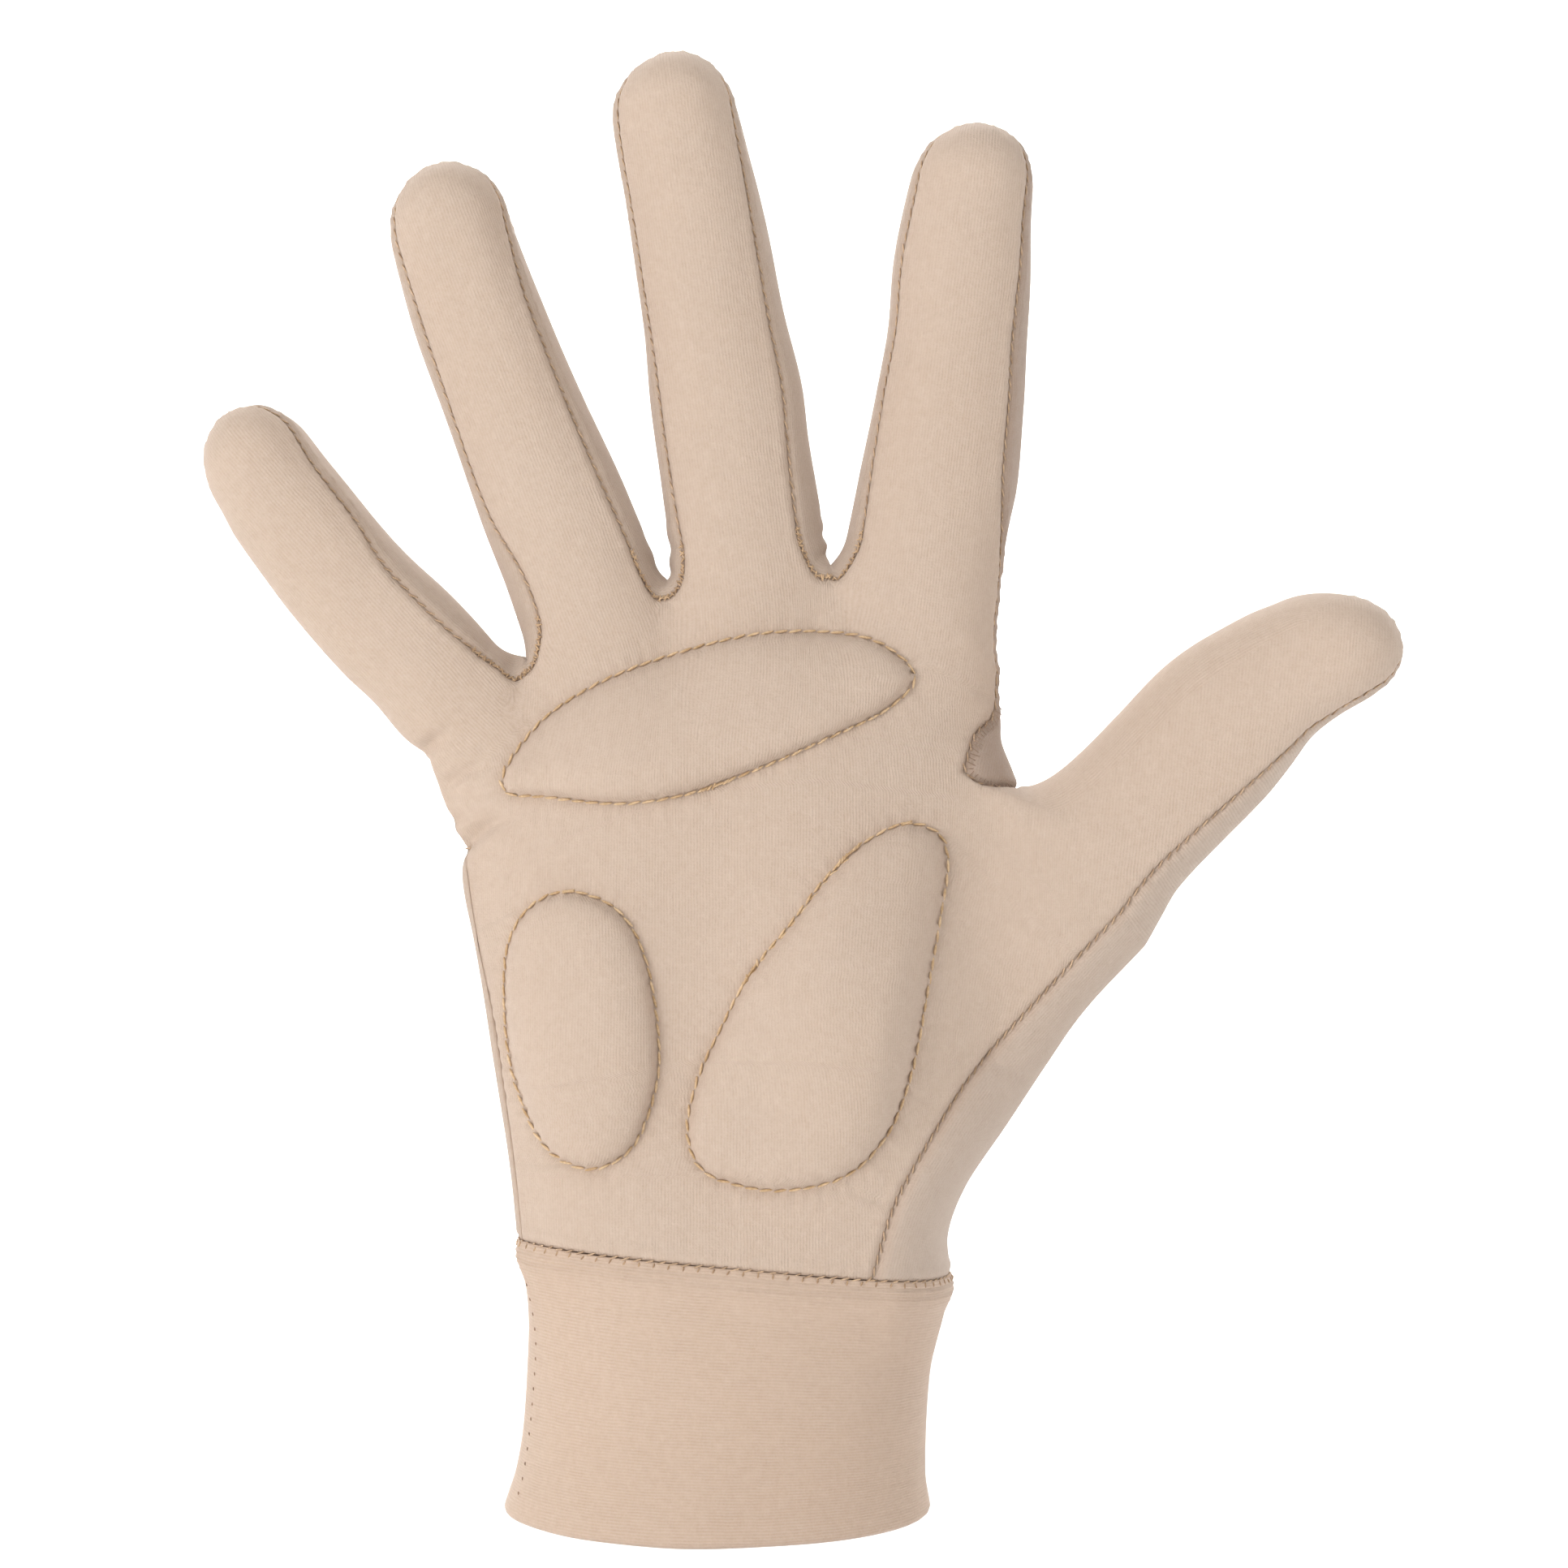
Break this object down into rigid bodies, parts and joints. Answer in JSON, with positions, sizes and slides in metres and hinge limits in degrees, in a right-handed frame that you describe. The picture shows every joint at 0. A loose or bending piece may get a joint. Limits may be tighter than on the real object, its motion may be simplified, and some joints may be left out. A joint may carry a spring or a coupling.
{
  "type": "padded skating glove",
  "caption": "Stretch-knit glove for the right hand, shown worn with spread fingers: stitched foam pads under the palm fabric, side strips between the fingers, folded wrist cuff.",
  "frame": {"origin": "centre of the cuff's opening, in the plane where the wrist goes in", "axes": "+Z from the wrist to the fingertips, -Y is where the palm faces, +X towards the thumb"},
  "size_m": [0.1791, 0.049, 0.2215],
  "materials": {
    "palm_fabric": "fine matte stretch knit",
    "back_fabric": "fine matte stretch knit",
    "side_fabric": "fine matte stretch knit",
    "gusset_fabric": "fine matte stretch knit, darker",
    "cuff_fabric": "folded fine stretch knit",
    "pad_foam": "soft closed-cell foam, hidden under the palm fabric"
  },
  "bodies": {
    "root": {"palm_panel": "palm_fabric", "back_panel": "back_fabric", "fourchette_little_ring": "side_fabric", "fourchette_ring_middle": "side_fabric", "fourchette_middle_index": "side_fabric", "thumb_gusset": "gusset_fabric", "cuff": "cuff_fabric", "knuckle_pad": "pad_foam", "heel_pad": "pad_foam", "thumb_pad": "pad_foam"}
  },
  "joints": []
}
